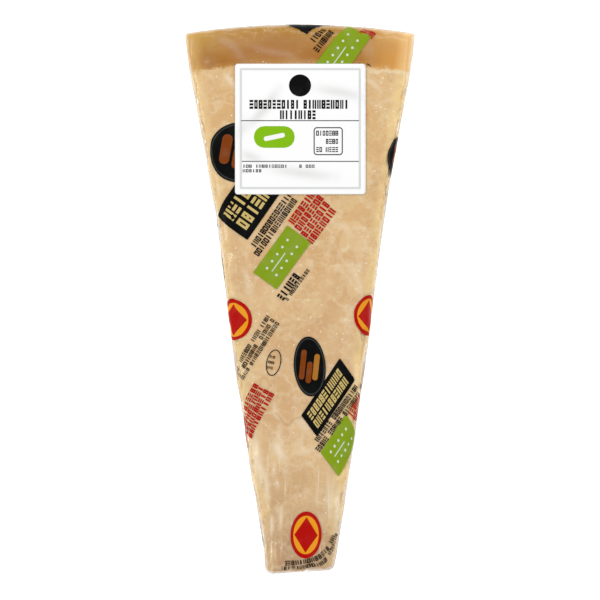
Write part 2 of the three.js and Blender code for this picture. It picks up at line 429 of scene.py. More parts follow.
def make_flakes():
    """Each scoop is the middle, the reach and the depth of a shallow bowl."""
    draws = seeded_random(FLAKE_SEED)

    def between(low, high):
        return low + (high - low) * next(draws)

    made = []
    for i in range(EDGE_FLAKES + WALL_FLAKES):
        y = between(TIP_Y + FLAKES_ABOVE_TIP, CROWN_Y - FLAKES_BELOW_CROWN)
        side = -1 if next(draws) < 0.5 else 1
        on_edge = i < EDGE_FLAKES
        z = THICKNESS - EDGE_FLAKE_DROP if on_edge else between(WALL_FLAKE_LOW, THICKNESS - WALL_FLAKE_DROP)
        kind = EDGE_FLAKE if on_edge else WALL_FLAKE
        made.append((side * (side_x(y) - ON_SIDE), y, z, between(*kind["reach"]), between(*kind["depth"])))
    for i in range(END_FLAKES):
        x = between(-END_SPREAD, END_SPREAD) * side_x(TIP_Y)
        z = between(END_FLAKE_LOW, THICKNESS - END_FLAKE_DROP)
        made.append((x, tip_line_y(x), z, between(*END_FLAKE["reach"]), between(*END_FLAKE["depth"])))
    return made


def flake_depth(points):
    """How deep the scoops cut at each point."""
    deepest = np.zeros(len(points))
    for x, y, z, reach, depth in make_flakes():
        away = np.linalg.norm(points - (x, y, z), axis=1) / reach
        deepest = np.maximum(deepest, depth * np.clip(1 - away ** 2, 0, None))
    return deepest


print(len(make_flakes()), "scoops, the deepest", round(max(flake[4] for flake in make_flakes()), 2), "mm")

# %% Run the section round the outline
FACE_WAVE = 0.18
LONG_WAVE = {"along": 11.3, "across": 9.1, "skew": 31.0, "share": 0.7}
SHORT_WAVE = {"along": 6.3, "across": 4.7, "share": 0.2}
EDGE_SWING = {"long": 12.7, "short": 5.1, "share": 0.6, "sides": 1.8}
SAME = 1e-3


def face_wave(x, y):
    """The slow wander of the wire that cut the face."""
    long = np.sin(y / LONG_WAVE["along"]) * np.cos(x / LONG_WAVE["across"] - y / LONG_WAVE["skew"])
    short = np.sin(x / SHORT_WAVE["across"] + y / SHORT_WAVE["along"])
    most = LONG_WAVE["share"] + SHORT_WAVE["share"]
    return -FACE_WAVE * (most + long * LONG_WAVE["share"] + short * SHORT_WAVE["share"])


def section_rings(rim, back, back_edge, wall, top_edge, face):
    """Inset, share of the way to the spine and height of every ring, for every point of the outline."""
    x, y = rim[:, 0:1], rim[:, 1:2]
    towards_rind = smooth((y - (CROWN_Y - SIDE_BELOW_CROWN)) / (SIDE_BELOW_CROWN / 2))
    bulge = SIDE_BULGE + (RIND_BULGE - SIDE_BULGE) * towards_rind
    start = np.where(x > 0, EDGE_SWING["sides"], 0.0)
    swing = np.sin(y / EDGE_SWING["long"] + start) + EDGE_SWING["share"] * np.sin(y / EDGE_SWING["short"] + x)
    edge = TOP_EDGE * (1 + TOP_EDGE_SWING * swing)
    none = np.zeros_like(x)
    rings = []

    def add(inset, share, z):
        belly = bulge * ((z - HALF) / HALF) ** 2
        rings.append((belly + inset, none + share, none + z))

    for k in range(back):
        add(BACK_EDGE, 1 - k / back, none)
    for angle in np.linspace(0, math.pi / 2, back_edge + 1):
        add(BACK_EDGE * (1 - math.sin(angle)), 0, none + BACK_EDGE * (1 - math.cos(angle)))
    for k in range(1, wall):
        add(none, 0, BACK_EDGE + (THICKNESS - edge - BACK_EDGE) * k / wall)
    for angle in np.linspace(0, math.pi / 2, top_edge + 1):
        add(edge * (1 - math.cos(angle)), 0, THICKNESS - edge * (1 - math.sin(angle)))
    for k in range(1, face + 1):
        add(edge, k / face, none + THICKNESS)
    return [np.hstack(column) for column in zip(*rings)]


def carved(points):
    """Takes the scoops off the wall and the edge of the face, and lets the cut face wander a little."""
    x, y, z = points.T
    beyond = np.maximum(abs(x - LABEL_MIDDLE[0]), abs(y - LABEL_MIDDLE[1])) - LABEL_SIZE / 2
    free = np.where(z > HALF, smooth(beyond / LABEL_FADE), 1.0)
    bite = free * smooth((z - BACK_EDGE) / FLAKE_FADE) * flake_depth(points)
    upright = smooth((z - (THICKNESS - TOP_EDGE)) / TOP_EDGE)
    inwards = np.column_stack([-x, np.clip(y, SPINE_LOW, SPINE_HIGH) - y])
    inwards /= np.maximum(np.linalg.norm(inwards, axis=1, keepdims=True), SAME)
    sideways = inwards * (bite * (1 - upright))[:, None]
    down = -bite * upright + upright * free * face_wave(x, y)
    return points + np.column_stack([sideways, down])


def new_object(name, points, faces):
    """A mesh object from points in millimetres, with doubled points merged."""
    mesh = bpy.data.meshes.new(name)
    mesh.from_pydata((np.asarray(points) * MM).tolist(), [], [tuple(face) for face in faces])
    work = bmesh.new()
    work.from_mesh(mesh)
    bmesh.ops.remove_doubles(work, verts=work.verts, dist=SAME * MM)
    work.to_mesh(mesh)
    work.free()
    mesh.shade_smooth()
    return add_object(name, mesh)


def wedge_skin(name, step, back, back_edge, wall, top_edge, face):
    """The closed skin of the wedge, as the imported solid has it, with finer steps."""
    rim = wedge_outline(step)
    inset, share, z = section_rings(rim, back, back_edge, wall, top_edge, face)
    x, y = rim[:, 0:1], rim[:, 1:2]
    home_y = np.clip(y, SPINE_LOW, SPINE_HIGH)
    reach = np.hypot(x, y - home_y)
    part = (inset * (1 - share) + reach * share) / reach
    flat = np.stack([x - x * part, y + (home_y - y) * part, z], axis=-1)
    points = carved(flat.reshape(-1, 3))
    count, ring_count = z.shape
    faces = []
    for i in range(count):
        here, after = i * ring_count, ((i + 1) % count) * ring_count
        faces += [(here + k, after + k, after + k + 1, here + k + 1) for k in range(ring_count - 1)]
    return new_object(name, points, faces)


wedge = wedge_skin("wedge_form", step=0.7, back=12, back_edge=5, wall=38, top_edge=9, face=30)
print("the form has", len(wedge.data.polygons), "faces")

# %% [markdown]
# ## Two helpers for Geometry Nodes
#
# Some things here repeat or cover a surface: relief, crystals, rows of marks, ribs of a seam. Geometry
# Nodes make them, because one tree with named sizes can be tried with other sizes later. One helper
# starts a tree and gives its inputs as wires. Another runs it on an object and keeps the plain mesh.

# %% Start a tree, end it, and run it once
def new_growth(name, sizes):
    """A Geometry Nodes tree with named inputs. Gives the tree and a wire for each input."""
    tree = bpy.data.node_groups.new(name, "GeometryNodeTree")
    tree.interface.new_socket("Geometry", in_out="INPUT", socket_type="NodeSocketGeometry")
    tree.interface.new_socket("Geometry", in_out="OUTPUT", socket_type="NodeSocketGeometry")
    for size, value in sizes.items():
        kind = "NodeSocketInt" if isinstance(value, int) else "NodeSocketFloat"
        tree.interface.new_socket(size, in_out="INPUT", socket_type=kind).default_value = value
    given = tree.nodes.new("NodeGroupInput")
    return tree, {out.name: Wire(tree, out) for out in given.outputs if out.name}


def end_growth(shape, material):
    """Ends a tree: instances become real, and all of it gets the material."""
    real = shape.node("GeometryNodeRealizeInstances", None, {0: shape})
    dressed = real.node("GeometryNodeSetMaterial", None, {"Geometry": real, "Material": material})
    dressed.node("NodeGroupOutput", None, {0: dressed})


def grown_mesh(base, tree, sizes):
    """Runs a tree on an object and gives the result as a plain mesh."""
    modifier = base.modifiers.new(tree.name, "NODES")
    modifier.node_group = tree
    for item in tree.interface.items_tree:
        if item.in_out == "INPUT" and item.name in sizes:
            modifier[item.identifier] = sizes[item.name]
    seen = base.evaluated_get(bpy.context.evaluated_depsgraph_get())
    mesh = bpy.data.meshes.new_from_object(seen)
    base.modifiers.remove(modifier)
    return mesh


def grow(base, tree, name, sizes):
    """A new object with the mesh that a tree makes of another object."""
    mesh = grown_mesh(base, tree, sizes)
    mesh.name = name
    mesh.shade_smooth()
    return add_object(name, mesh)


def triangles(made):
    return sum(len(face.vertices) - 2 for face in made.data.polygons)


# %% [markdown]
# ## What the cheese is made of
#
# The paste is a warm straw colour, cloudy and mottled, with tiny white specks. Along the two long edges light
# passes through it, and a paler glow is painted into its colour there, a painted highlight that is stronger
# on the right and higher up the wall. At the rim of the wheel the rind starts: golden tan outside, a deep
# orange brown band inside, and a pale crumbly line where it meets the paste. A picture wrapped round the
# cheese would smear at its edges, so the colours come from the place of each point: how far it lies from the
# wheel's rim, and how far from the cut sides.

# %% Measure places on the cheese with nodes
def side_depth(x, y):
    """A wire for how far in from the nearest cut side a place lies, if the sides were straight."""
    return y * TAPER + WIDTH_AT_MIDDLE / 2 - abs(x)


def rim_depth_at(x, y):
    """A wire for how far in from the wheel's rim a place lies."""
    up_the_wheel = y + (WHEEL_RADIUS - CROWN_Y)
    return WHEEL_RADIUS - (x * x + up_the_wheel * up_the_wheel).root()


def material_place(start):
    """A wire for the place of each point, in millimetres, in a material."""
    return start.node("ShaderNodeTexCoord", output="Object").times((1 / MM,) * 3)


def growth_place(shape):
    """The same in Geometry Nodes, with the direction in which the surface faces."""
    place = shape.node("GeometryNodeInputPosition").times((1 / MM,) * 3)
    return place, shape.node("GeometryNodeInputNormal")


# %% Measure soft strokes along a line
STROKE_REACH = 2.0  # how far under the face strokes still show
STROKE_ENDS = 0.05  # share of a stroke's length at each end that keeps one strength


def stroke(points, line, width, sharpest=0.6):
    """How much a soft stroke along a line of pixels covers each point: 1 on the line, fading at its ends."""
    cover = np.zeros(len(points))
    stops = [at_pixel(*spot) for spot in line]
    for k, (a, b) in enumerate(zip(stops, stops[1:])):
        along = np.clip((points - a) @ (b - a) / ((b - a) @ (b - a)), 0, 1)
        away = np.linalg.norm(points - a - along[:, None] * (b - a), axis=1)
        share = np.clip((k + along) / (len(stops) - 1), STROKE_ENDS, 1 - STROKE_ENDS)
        cover = np.maximum(cover, np.exp(-(away / width) ** 2) * np.sin(share * math.pi) ** sharpest)
    return cover


def spots_of(made):
    """The places of a mesh's points, in millimetres."""
    return np.array([tuple(v.co) for v in made.data.vertices]) / MM


def store(made, name, values):
    """Writes one number on each point of a mesh."""
    made.data.attributes.new(name, "FLOAT", "POINT").data.foreach_set("value", values)


def add_strokes(made, name, strokes):
    """Writes the strokes on the points of a mesh that lie at the face, as a number from 0 to 1."""
    spots = spots_of(made)
    cover = np.zeros(len(spots))
    for line, width, strength in strokes:
        cover = np.maximum(cover, strength * stroke(spots[:, :2], line, width))
    store(made, name, cover * (spots[:, 2] > THICKNESS - STROKE_REACH))


def line_gap(x, y, line):
    """A wire for the distance to a line of pixels, in millimetres, for a hair line in a material."""
    nearest = None
    stops = [at_pixel(*spot) for spot in line]
    for a, b in zip(stops, stops[1:]):
        run = b - a
        right, up = x - float(a[0]), y - float(a[1])
        along = (right * float(run[0]) + up * float(run[1])) * float(1 / (run @ run))
        along = along.maths("MINIMUM", along.maths("MAXIMUM", along, 0.0), 1.0)
        off_x, off_y = right - along * float(run[0]), up - along * float(run[1])
        gap = (off_x * off_x + off_y * off_y).root()
        nearest = gap if nearest is None else gap.maths("MINIMUM", nearest, gap)
    return nearest


# %% Mix the cheese
RIND_DEPTH = 11.8
RIND_TONES = [  # share of the rind's depth, from the rim inwards
    (0.0, "#bd944e"), (0.2, "#b8883c"), (0.42, "#b6843c"), (0.6, "#b1792c"), (0.84, "#ab701a"),
    (0.93, "#b8843c"), (0.98, "#d0a464"), (1.0, "#e2bf8b"),
]
# Pale strokes, partly paler breaks of the paste and partly painted highlight where film wrinkles and flake
# edges catch the light.
PALE_AND_SHINE_STROKES = [  # lines in pixels of the picture, then half width in millimetres and strength
    ([(275, 440), (279, 451), (284, 461)], 1.2, 1.0), ([(274, 401), (275, 414), (281, 420)], 0.6, 0.8),
    ([(281, 420), (279, 433), (277, 444)], 1.0, 0.5), ([(296, 426), (303, 421), (307, 433)], 1.7, 0.6),
    ([(262, 468), (267, 484), (267, 503)], 0.8, 0.8), ([(274, 462), (274, 476)], 0.45, 0.8),
    ([(281.5, 508), (280, 532)], 0.45, 0.9), ([(272.7, 512), (271.5, 536)], 0.5, 0.7),
    ([(277, 480), (278, 489)], 0.45, 0.8), ([(327.7, 474), (329, 500), (330, 524)], 0.45, 0.8),
    ([(333.3, 484), (334, 516)], 0.4, 0.6), ([(337.5, 488), (337, 532)], 0.9, 0.9),
    ([(252, 430), (257, 462), (262, 484)], 1.3, 0.9), ([(224, 73), (230, 80), (234, 89)], 0.7, 0.8),
    ([(364, 78), (372, 82), (382, 92)], 0.6, 0.7), ([(206, 60), (207, 64)], 0.8, 0.8),
    ([(330, 222), (345, 226), (352, 236)], 0.8, 0.5), ([(352, 262), (358, 280), (362, 300)], 0.9, 0.5),
    ([(300, 446), (307, 452), (313, 449)], 0.8, 0.5), ([(242, 262), (248, 282), (252, 300)], 0.9, 0.5),
]
# The edge of a flake on the face, along which a thin shadow line is painted.
FLAKE_EDGE = [
    (275.5, 413), (280.7, 417.7), (283.8, 423.8), (289.4, 425.3), (292.5, 420.2), (296, 418.2), (302, 416.6),
]

hard_cheese, start = new_finish("hard_cheese")
place = material_place(start)
x, y, z = place.parts()
from_side, rim_depth = side_depth(x, y), rim_depth_at(x, y)
groove, pale = start.attribute("groove"), start.attribute("pale")


def veins(size, shift, width):
    """Thin wandering lines, where a noise passes through its middle value."""
    return abs(place.noise(size, 3.0, shift) - 0.5).rises(width, 0.0)


facets = place.bent(0.16, 3.0, 9.0).cells(7.0, "Color").parts()[0]
calm = 1 - y.rises(-50.0, -72.0) * 0.6
where = place.noise(10.0, 2.0, 4.9).rises(0.46, 0.62)
fibres = place.noise(1.1, 2.0, 7.7, (1.0, 15.0, 1.0)).rises(0.58, 0.74) * y.rises(-15.0, -45.0)
wander = (place.noise(4.5, 3.0, 2.3) - 0.5) * 4.5
on_right = x.rises(0.0, 8.0)
# How strong the painted edge glow is: stronger high up the wall, weaker at the tip.
lit = (z.rises(15.0, 25.0) * 0.7 + 0.3) * (1 - y.rises(-56.0, -68.0) * 0.7)
flake_shadow_line = line_gap(x, y, FLAKE_EDGE).rises(0.5, 0.05) * z.rises(26.0, 27.0)
specks = place.cells(1.7).rises(0.2, 0.1) * place.noise(4.0, 1.0, 6.6).rises(0.42, 0.6)

paste = place.noise(15.0, 3.0, 3.1).rises(0.36, 0.64).blend(paint("#d6ad7c"), paint("#dfba89"))
paste = painted(paste, [
    (y.rises(-20.0, 60.0) * 0.6, "#dfb577"),
    (y.rises(-40.0, -72.0) * 0.85, "#b9916a"),
    (facets.rises(0.2, 0.9) * calm * 0.42, "#ebcf9f"),
    (place.noise(5.5, 3.0, 9.4).rises(0.54, 0.74) * 0.28, "#cda372"),
    (place.noise(3.0, 4.0, 5.2).rises(0.5, 0.72) * calm * 0.45, "#eed9b2"),
    (veins(9.0, 13.0, 0.04) * where * 0.3, "#f2e2c2"),
    (veins(4.0, 17.0, 0.05) * (1 - where) * 0.22, "#efdcb8"),
    (veins(6.5, 21.0, 0.012) * 0.2, "#c49a66"),
    (fibres * 0.55, "#efdfc2"),
    # Painted highlight: a paler glow along both long edges, for light that passes through the paste there.
    ((from_side + wander).rises(5.2, 1.4) * lit * 0.6, "#efd49a"),
    # Painted highlight: a stronger glow along the right edge.
    (on_right * (from_side + wander * 0.6).rises(5.2, 1.5) * lit * 0.68, "#f9d898"),
    (z.rises(26.5, 23.0) * 0.2, "#e4c690"),
    # Painted shade: the paste darker in the grooves of the relief.
    (groove.rises(0.1, 0.9) * 0.55, "#b98d58"),
    # Pale strokes, partly painted highlight.
    (pale * 0.8, "#f5e5ca"),
    # Painted shadow: a thin darker line along the flake's edge.
    (flake_shadow_line * 0.4, "#bd935c"),
    (specks * 0.6, "#fbf1dc"),
    (place.noise(0.7, 2.0, 1.1).rises(0.35, 0.7) * 0.08, "#f3e2c0"),
])

frayed = rim_depth + (place.noise(5.0, 4.0, 1.7) - 0.5) * 2.6 + (place.noise(1.0, 2.0, 8.1) - 0.5)
tones = [(share, paint(tone)) for share, tone in RIND_TONES]
rind = frayed.node("ShaderNodeValToRGB", {"stops": tones}, {0: frayed * (1 / RIND_DEPTH)})
rind = painted(rind, [
    (x.rises(15.0, 27.0) * 0.8, "#e2a658"),
    (x.rises(19.0, 28.0) * rim_depth.rises(6.0, 1.5) * 0.45, "#e8c48a"),
    (abs(x + 8.0).rises(16.0, 6.0) * rim_depth.rises(2.0, 5.0) * 0.5, "#b4804e"),
    (place.noise(7.0, 3.0, 4.4, (2.6, 1.0, 1.0)).rises(0.48, 0.7) * 0.4, "#c8995c"),
    (veins(5.0, 31.0, 0.02) * rim_depth.rises(7.0, 1.0) * 0.45, "#d6b77a"),
    # Painted highlight: the paler edge glow carried on over the rind, stronger on the right.
    ((1 - on_right) * from_side.rises(5.4, 1.8) * 0.75, "#dcb06a"),
    (on_right * from_side.rises(5.6, 2.0) * 0.8, "#f6c984"),
    (x.rises(-17.0, -29.0) * rim_depth.rises(8.0, 2.0) * 0.6, "#cfa452"),
    # Pale strokes over the rind, partly painted highlight.
    (pale * 0.6, "#dcb488"),
])
on_rind = frayed.rises(RIND_DEPTH + 1.1, RIND_DEPTH - 0.4)
crumbly = abs(frayed - (RIND_DEPTH + 0.7)).rises(0.9, 0.2) * x.rises(14.0, 22.0)
colour = painted(on_rind.blend(paste, rind), [(crumbly * 0.55, "#f3e2bf")])

grain = place.noise(0.9, 4.0, 2.0) * 0.5 + place.noise(3.2, 3.0, 5.0)
grain = grain * (1 - on_rind * 0.75)
bump = grain.node("ShaderNodeBump", None, {"Strength": 0.35, "Distance": 0.4 * MM, "Height": grain})
roughness = place.noise(2.4, 2.0, 3.0).rises(0.2, 0.8) * 0.2 + 0.42
show(principled(start, Base_Color=colour, Roughness=roughness, Specular_IOR_Level=0.2, Normal=bump,
                Subsurface_Weight=0.12, Subsurface_Radius=(1.0, 0.6, 0.3), Subsurface_Scale=1.6 * MM))
print("the rind reaches", RIND_DEPTH, "mm in from the rim")

# %% [markdown]
# ## The cheese itself
#
# Hard cheese is split, not sliced, so its walls are craggy and its cut face has fine pits. Such relief
# could be bump alone, but then it would be missing from the shape. Here the form is remeshed into even
# small faces, and a Geometry Nodes tree presses it in along its normals: everywhere by the gap that the
# film needs, and on the walls by cells of a Voronoi texture, which look like broken grain.

# %% Press the relief into the form
CHEESE_FACE = 0.56
relief_tree, size = new_growth("cheese_relief", {
    "Film Gap": 0.17, "Crag Depth": 1.0, "Crag Size": 4.6, "Chip Depth": 0.45, "Chip Size": 1.7,
    "Pit Depth": 0.16,
})
shape = size["Geometry"]
place, normal = growth_place(shape)
x, y, _ = place.parts()
tilt = normal.parts()[2]
on_wall = abs(tilt).rises(0.85, 0.45)
on_face = tilt.rises(0.6, 0.95)
split = rim_depth_at(x, y).rises(8.0, 13.0)
warped = place.bent(0.3, 2.0, 3.0)
crags = warped.cells(size["Crag Size"]).rises(0.35, 0.95) * size["Crag Depth"]
chips = warped.cells(size["Chip Size"]).rises(0.2, 0.9) * size["Chip Depth"]
pitted = place.noise(2.6, 3.0, 2.7).rises(0.56, 0.72) * size["Pit Depth"]
near_side = side_depth(x, y).rises(5.0, 1.5)
broken = on_wall * (split * 0.85 + 0.15) * (crags + chips) + on_face * near_side * split * chips
depth = size["Film Gap"] + broken + on_face * pitted
inwards = normal.scaled(depth * -MM)
pressed = shape.node("GeometryNodeSetPosition", None, {"Geometry": shape, "Offset": inwards})
# The depth of the relief is kept on the points, and the cheese's material paints shade into the grooves with
# it.
groove = {"Geometry": pressed, "Name": "groove", "Value": broken}
end_growth(pressed.node("GeometryNodeStoreNamedAttribute", None, groove), hard_cheese)

remesh = wedge.modifiers.new("even_faces", "REMESH")
remesh.mode = "VOXEL"
remesh.voxel_size = CHEESE_FACE * MM
cheese = grow(wedge, relief_tree, "cheese", {})
wedge.modifiers.clear()
add_strokes(cheese, "pale", PALE_AND_SHINE_STROKES)
print("the cheese has", triangles(cheese), "triangles")

# %% [markdown]
# ## Crystals and crumbs
#
# Aged cheese has white crystals, from pinheads to grains of sand, and crumbs stick where the rind was cut.
# Painted specks have no body from the side, so these are real grains. Geometry Nodes scatter points over
# the cheese, as many on each square metre as asked, and set a small flattened ball on each.

# %% Scatter the grains
crystal_white, start = new_finish("crystal_white")
cloudy = material_place(start).noise(2.0, 2.0, 4.0).rises(0.3, 0.7)
tone = cloudy.blend(paint("#e8cf9f"), paint("#f0dfbe"))
show(principled(start, Base_Color=tone, Roughness=0.6))

grain_tree, size = new_growth("grains", {
    "Density": 36000.0, "Smallest": 0.07, "Largest": 0.18, "Flatness": 0.35, "From Rim": 0.0,
    "To Rim": 200.0, "Seed": 5,
})
shape = size["Geometry"]
x, y, z = growth_place(shape)[0].parts()
rim_depth = rim_depth_at(x, y)
past_rim = rim_depth.maths("GREATER_THAN", rim_depth, size["From Rim"])
in_reach = past_rim * rim_depth.maths("LESS_THAN", rim_depth, size["To Rim"])
off_the_back = z.maths("GREATER_THAN", z, 2.0)
scattered = {"Mesh": shape, "Selection": in_reach * off_the_back, "Density": size["Density"],
             "Seed": size["Seed"]}
points = shape.node("GeometryNodeDistributePointsOnFaces", None, scattered)
turns = Wire(grain_tree, points.socket.node.outputs["Rotation"])
ball = shape.node("GeometryNodeMeshIcoSphere", None, {"Radius": MM, "Subdivisions": 1})
girth = shape.draw(size["Smallest"], size["Largest"], size["Seed"])
scale = girth.vector(girth, girth * 0.8, girth * size["Flatness"])
placed = {"Points": points, "Instance": ball, "Rotation": turns, "Scale": scale}
end_growth(points.node("GeometryNodeInstanceOnPoints", None, placed), crystal_white)

crystals = grow(cheese, grain_tree, "crystals", {"From Rim": 1.0})
crumbs = grow(cheese, grain_tree, "rind_crumbs", {
    "Density": 420000.0, "Smallest": 0.1, "Largest": 0.28, "From Rim": RIND_DEPTH - 0.9,
    "To Rim": RIND_DEPTH + 0.9, "Seed": 8,
})
print("crystals:", triangles(crystals), "triangles; crumbs:", triangles(crumbs))

# %% [markdown]
# ## The film
#
# Shrink film clings to the cheese and bridges its small hollows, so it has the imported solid's own form.
# It is one closed skin. Where it crosses the edges and gathers at the ends it wrinkles: short ridges
# that run down the walls. A Geometry Nodes tree raises them, and lifts the skin off the table by the
# thickness of the seams that lie under it.

# %% Make the film's finish
SEAM_ROOM = 0.15
STREAK_HAZE_AND_GLINT = 0.26
EDGE_HAZE = 0.6
MIRROR_HEAD_ON, MIRROR_ASLANT = 0.02, 0.55
FILM_ROUGHNESS = 0.09
HAZE_AND_GLINT_STREAKS = [  # pale pink streaks on the film, partly milkiness over its wrinkles and partly painted highlight: lines in pixels of the picture, half width and strength
    ([(216, 38), (225, 41), (234, 46), (245, 62)], 1.2, 1.0),
    ([(246, 44), (264, 50.5), (287, 54.5), (300, 61)], 0.8, 0.9), ([(395, 226), (384, 240)], 0.8, 0.7),
    ([(262, 500), (265, 530)], 0.6, 0.5), ([(296, 66), (312, 60)], 0.8, 0.4),
    ([(299.5, 240), (297.5, 246), (297, 252)], 0.35, 1.0), ([(301, 243), (306, 245.5), (309, 246)], 0.6, 0.8),
    ([(362, 30), (366, 36), (368, 41)], 0.7, 0.7), ([(293, 262), (288, 276)], 0.5, 0.4),
]


def film_finish(name, least_haze, most_haze):
    """Clear film: what is behind it, a reflection that grows where it is seen aslant, milkiness and painted
    highlight.
    """
    film, start = new_finish(name)
    place = material_place(start)
    smears = place.noise(6.0, 3.0, 12.0, (1.0, 2.6, 1.0)).rises(0.52, 0.78)
    near_tip = place.parts()[1].rises(0.0, -60.0)
    drawn = place.noise(1.0, 2.0, 15.0, (1.0, 22.0, 1.0)).rises(0.62, 0.8) * near_tip
    haze = (smears * 0.7 + drawn * 0.6) * (most_haze - least_haze) + least_haze
    streak = start.attribute("streak")
    aslant = start.node("ShaderNodeLayerWeight", None, {"Blend": 0.5}, output="Facing")
    mirror = aslant * aslant * aslant * MIRROR_ASLANT + MIRROR_HEAD_ON
    clear = start.node("ShaderNodeBsdfTransparent")
    shine = {"Color": paint("#ffffff"), "Roughness": FILM_ROUGHNESS}
    look = mirror.mixed(clear, start.node("ShaderNodeBsdfGlossy", None, shine))
    # Milky film, and pale pink streaks that are partly painted highlight on the film's wrinkles.
    milk_and_glints = [(haze, "#fff6ea"), (streak * STREAK_HAZE_AND_GLINT, "#f2cfb2"),
             (aslant.rises(0.6, 0.98) * EDGE_HAZE, "#c6c2b8")]
    for share, tone in milk_and_glints:
        look = share.mixed(look, start.node("ShaderNodeBsdfDiffuse", None, {"Color": paint(tone)}))
    show(look)
    return film


clear_film = film_finish("clear_film", 0.0, 0.11)
sealed_film = film_finish("sealed_film", 0.3, 0.5)

# %% Raise the wrinkles
wrinkle_tree, size = new_growth("film_wrinkles", {
    "Ridge Height": 0.13, "Face Height": 0.04, "Lift": SEAM_ROOM,
})
shape = size["Geometry"]
place, normal = growth_place(shape)
z = place.parts()[2]
tilt = normal.parts()[2]
on_wall = abs(tilt).rises(0.95, 0.6)
on_face = tilt.rises(0.6, 0.95)
down_the_wall = place.noise(2.6, 2.0, 3.0, (0.8, 1.0, 4.5))
ridges = 1 - abs(down_the_wall - 0.5) * 9.0
ridges = ridges.rises(0.0, 1.0) * place.noise(9.0, 2.0, 6.0).rises(0.42, 0.62) * z.rises(27.0, 22.0)
drift = place.noise(2.2, 2.0, 8.0, (1.0, 3.0, 1.0)) - 0.5
raised = on_wall * ridges * size["Ridge Height"] + on_face * drift * size["Face Height"]
lift = z.rises(3.0, 0.0) * size["Lift"] * MM
moved = normal.scaled(raised * MM).plus(lift.vector(z=lift))
end_growth(shape.node("GeometryNodeSetPosition", None, {"Geometry": shape, "Offset": moved}), clear_film)


def net_of(made):
    """The skin of a mesh, as a net that finds the nearest place on it."""
    return BVHTree.FromPolygons([v.co for v in made.data.vertices], [p.vertices for p in made.data.polygons])


film_form = wedge_skin("film_form", step=0.75, back=9, back_edge=4, wall=30, top_edge=9, face=30)
film = grow(film_form, wrinkle_tree, "film", {})
add_strokes(film, "streak", HAZE_AND_GLINT_STREAKS)
bpy.data.objects.remove(film_form)
film_net = net_of(film)
print("the film has", triangles(film), "triangles")

# %% [markdown]
# ## Inks on the film
#
# The print is a pattern of slanting groups that runs on round the pack: black fields, gold blocks, green
# tags, red and amber roundels and greeked rows, which are rows of small blocks where a pack has words.
# Each shape is cut flat, as a net of small triangles, then folded round the pack and pressed on the film.
# One big face could not follow the scoops, a fine net can.

# %% Cut flat shapes
NET = 0.6
NET_ROW = 0.87  # the net's rows lie closer than its columns, for triangles of even sides
NET_CLEAR = 0.45  # share of a step that the net keeps from the edge


def resampled(loop, step=NET):
    """Points along a closed loop, with its corners kept."""
    points = []
    for a, b in zip(loop, np.roll(loop, -1, axis=0)):
        count = max(1, round(float(np.linalg.norm(b - a)) / step))
        points += [a + (b - a) * k / count for k in range(count)]
    return np.array(points)


def inside(points, loop):
    x, y = points.T
    result = np.zeros(len(points), bool)
    for (x0, y0), (x1, y1) in zip(loop, np.roll(loop, -1, axis=0)):
        if y0 != y1:
            result ^= ((y0 > y) != (y1 > y)) & (x < (x1 - x0) * (y - y0) / (y1 - y0) + x0)
    return result


def filled(loop, step=NET):
    """A closed loop, filled with an even net of triangles."""
    ring = resampled(np.asarray(loop, float), step)
    low, high = ring.min(axis=0), ring.max(axis=0)
    rows = np.arange(low[1] + step / 2, high[1], step * NET_ROW)
    net = [(x + k % 2 * step / 2, y) for k, y in enumerate(rows) for x in np.arange(low[0], high[0], step)]
    net = np.array(net).reshape(-1, 2)
    clear = np.linalg.norm(net[:, None] - ring[None], axis=2).min(axis=1) > step * NET_CLEAR
    every = np.vstack([ring, net[inside(net, ring) & clear]])
    edges = [(k, (k + 1) % len(ring)) for k in range(len(ring))]
    points, _, faces, *_ = delaunay_2d_cdt([Vector(p) for p in every], edges, [], 1, 1e-6)
    return np.array([tuple(p) for p in points]), [tuple(face) for face in faces]


def ring_between(outer, inner):
    """The strip between two loops with as many points each."""
    count = len(outer)
    faces = [(k, (k + 1) % count, count + (k + 1) % count, count + k) for k in range(count)]
    return np.vstack([outer, inner]), faces


def oval(width, height, count=48):
    t = np.linspace(0, 2 * math.pi, count, endpoint=False)
    return np.column_stack([width / 2 * np.cos(t), height / 2 * np.sin(t)])


def rounded_box(width, height, radius, steps=5):
    """A box with round corners, anticlockwise."""
    quarter = np.linspace(0, math.pi / 2, steps)
    points = []
    for turn, (sx, sy) in enumerate([(1, 1), (-1, 1), (-1, -1), (1, -1)]):
        middle = np.array([sx * (width / 2 - radius), sy * (height / 2 - radius)])
        angle = quarter + turn * math.pi / 2
        points.append(middle + radius * np.column_stack([np.cos(angle), np.sin(angle)]))
    return np.vstack(points)


def lozenge(width, height):
    return np.array([(width / 2, 0), (0, height / 2), (-width / 2, 0), (0, -height / 2)])


print("a disc of 10 mm has", len(filled(oval(10, 10))[1]), "triangles")

# %% Grow greeked rows with Geometry Nodes
row_tree, size = new_growth("greeked_row", {
    "Length": 12.0, "Height": 1.5, "Pitch": 0.9, "Narrowest": 0.68, "Widest": 0.88, "Stroke": 0.28,
    "Word Gap": 0.1, "Seed": 1,
})
STROKE_FLATNESS = 0.62  # height of a block's level strokes, as a share of the width of its upright ones
BLOCK_WIDTH = 0.64  # share of a row's height
FINEST_PITCH = 0.9


def line_of_points(size, step):
    """A line with a point for each pitch in its length, and with this step from one to the next."""
    count = (size["Length"] / size["Pitch"]).whole()
    return step.node("GeometryNodeMeshLine", None, {"Count": count, "Offset": step})


pitch = size["Pitch"] * MM
line = line_of_points(size, pitch.vector(x=pitch))
kept = line.draw(0.0, 1.0, size["Seed"])
kept = kept.maths("GREATER_THAN", kept, size["Word Gap"])
width = line.draw(size["Narrowest"], size["Widest"], size["Seed"] + 40) * pitch
scale = width.vector(width, size["Height"] * MM, 1.0)


